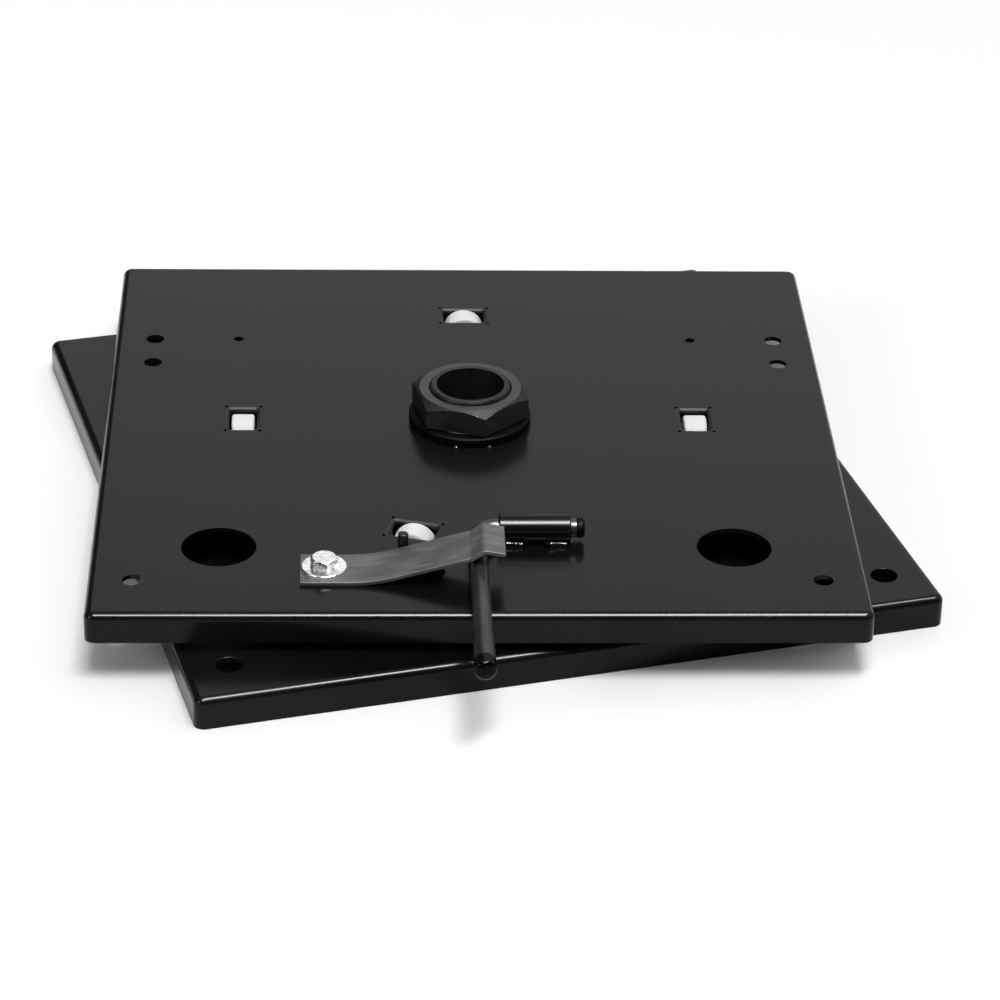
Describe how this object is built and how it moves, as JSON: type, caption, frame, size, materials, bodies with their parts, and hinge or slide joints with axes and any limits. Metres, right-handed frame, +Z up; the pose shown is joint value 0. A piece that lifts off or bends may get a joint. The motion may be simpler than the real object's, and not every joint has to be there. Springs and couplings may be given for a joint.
{
  "type": "swivel seat base",
  "caption": "Swivel base for a vehicle seat: upper tray turning on rollers over a lower tray, with a lift-handle lock and a hollow central pivot.",
  "frame": {"origin": "on the axis of the hollow pivot shaft, level with the top face of the upper tray", "axes": "+Z up along the pivot; X to the right along the upper tray's front edge; -Y to the front, where the handle is"},
  "size_m": [0.4964, 0.5164, 0.0633],
  "materials": {
    "black_paint": "satin black powder coat on pressed steel",
    "black_steel": "black coated machined steel",
    "rod_paint": "black coated bar, slightly worn",
    "white_nylon": "natural white nylon, turned",
    "zinc_plate": "bright zinc plate",
    "spring_steel": "dark blued spring steel with rubbed streaks",
    "axle_steel": "plain drawn steel",
    "grip_plastic": "dipped vinyl cap"
  },
  "bodies": {
    "base": {"lower_plate": "black_paint", "pivot_shaft": "black_steel", "shaft_weld": "black_paint", "pivot_nut": "black_steel"},
    "top": {"upper_plate": "black_paint", "pivot_collar": "black_paint", "pivot_bush": "white_nylon", "strip_bolt": "zinc_plate", "strip_washer": "zinc_plate", "strip_nut": "zinc_plate", "guide_stud": "black_steel", "handle_sleeve": "black_paint", "sleeve_welds": "black_paint", "axle_right": "axle_steel", "axle_rear": "axle_steel", "axle_left": "axle_steel", "axle_front": "axle_steel"},
    "handle": {"handle_rod": "rod_paint", "handle_grip": "grip_plastic"},
    "lock": {"lock_strip": "spring_steel", "lock_pin": "axle_steel"},
    "roller_right": {"roller_right": "white_nylon"},
    "roller_rear": {"roller_rear": "white_nylon"},
    "roller_left": {"roller_left": "white_nylon"},
    "roller_front": {"roller_front": "white_nylon"}
  },
  "joints": [
    {"name": "swivel", "type": "hinge", "parent": "base", "child": "top", "pos_m": [0, 0, 0], "axis": [0, 0, 1], "continuous": true},
    {"name": "handle_lift", "type": "hinge", "parent": "top", "child": "handle", "pos_m": [0.03, -0.134, 0.0075], "axis": [-1, 0, 0], "range_deg": [0, 16]},
    {"name": "lock_lift", "type": "hinge", "parent": "top", "child": "lock", "pos_m": [-0.058, -0.1675, 0.0022], "axis": [0, -1, 0], "range_deg": [0, 9.3], "stiffness_Nm_per_rad": 0.8, "springref_deg": -8.59, "deforming": ["lock_strip"]},
    {"name": "roller_right_spin", "type": "hinge", "parent": "top", "child": "roller_right", "pos_m": [0.128, 0, -0.0107], "axis": [1, 0, 0], "continuous": true},
    {"name": "roller_rear_spin", "type": "hinge", "parent": "top", "child": "roller_rear", "pos_m": [0, 0.128, -0.0107], "axis": [0, 1, 0], "continuous": true},
    {"name": "roller_left_spin", "type": "hinge", "parent": "top", "child": "roller_left", "pos_m": [-0.128, 0, -0.0107], "axis": [-1, 0, 0], "continuous": true},
    {"name": "roller_front_spin", "type": "hinge", "parent": "top", "child": "roller_front", "pos_m": [-0.03356, -0.12352, -0.0107], "axis": [-0.2622, -0.965, 0], "continuous": true}
  ],
  "couplings": [
    {"joint": "lock_lift", "follows": "handle_lift", "ratio": 0.58},
    {"joint": "roller_right_spin", "follows": "swivel", "ratio": -10.94},
    {"joint": "roller_rear_spin", "follows": "swivel", "ratio": -10.94},
    {"joint": "roller_left_spin", "follows": "swivel", "ratio": -10.94},
    {"joint": "roller_front_spin", "follows": "swivel", "ratio": -10.94}
  ]
}
